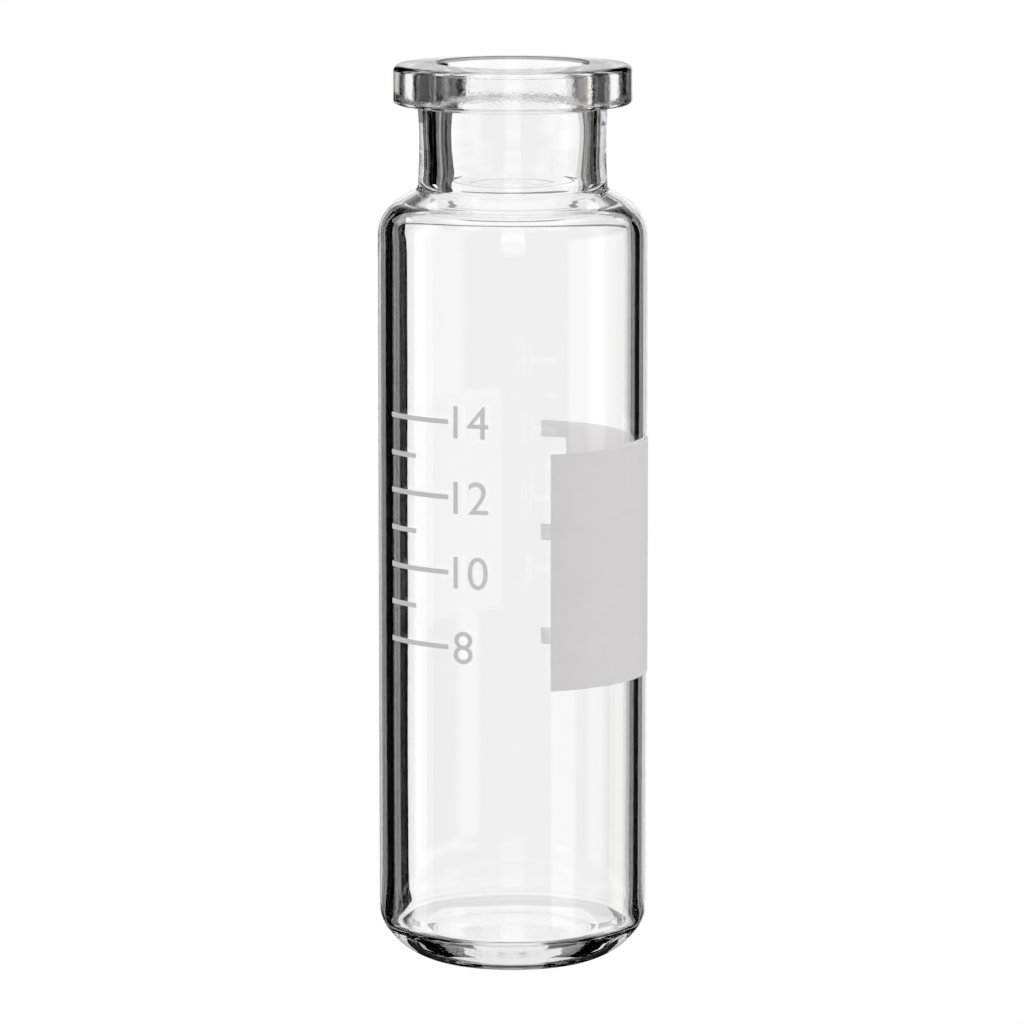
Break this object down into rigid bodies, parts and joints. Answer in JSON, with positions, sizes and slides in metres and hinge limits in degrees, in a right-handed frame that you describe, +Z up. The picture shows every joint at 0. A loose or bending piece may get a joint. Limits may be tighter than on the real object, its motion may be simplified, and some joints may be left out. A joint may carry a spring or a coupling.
{
  "type": "glass sample vial",
  "caption": "Clear glass sample vial with a crimp flange, necked shoulder, rounded heel and a white write-on patch and graduation fired on its wall.",
  "frame": {"origin": "on the axis, in the plane of the ring that the vial stands on", "axes": "+Z up along the axis, out of the mouth; the front looks along -Y, with the write-on patch to its right towards +X"},
  "size_m": [0.0225, 0.0224, 0.0755],
  "materials": {
    "glass": "clear borosilicate glass, flame polished",
    "enamel": "fired white screen-printed enamel, satin"
  },
  "bodies": {
    "root": {"vial": "glass", "write_on_patch": "enamel", "graduation": "enamel"}
  },
  "joints": []
}
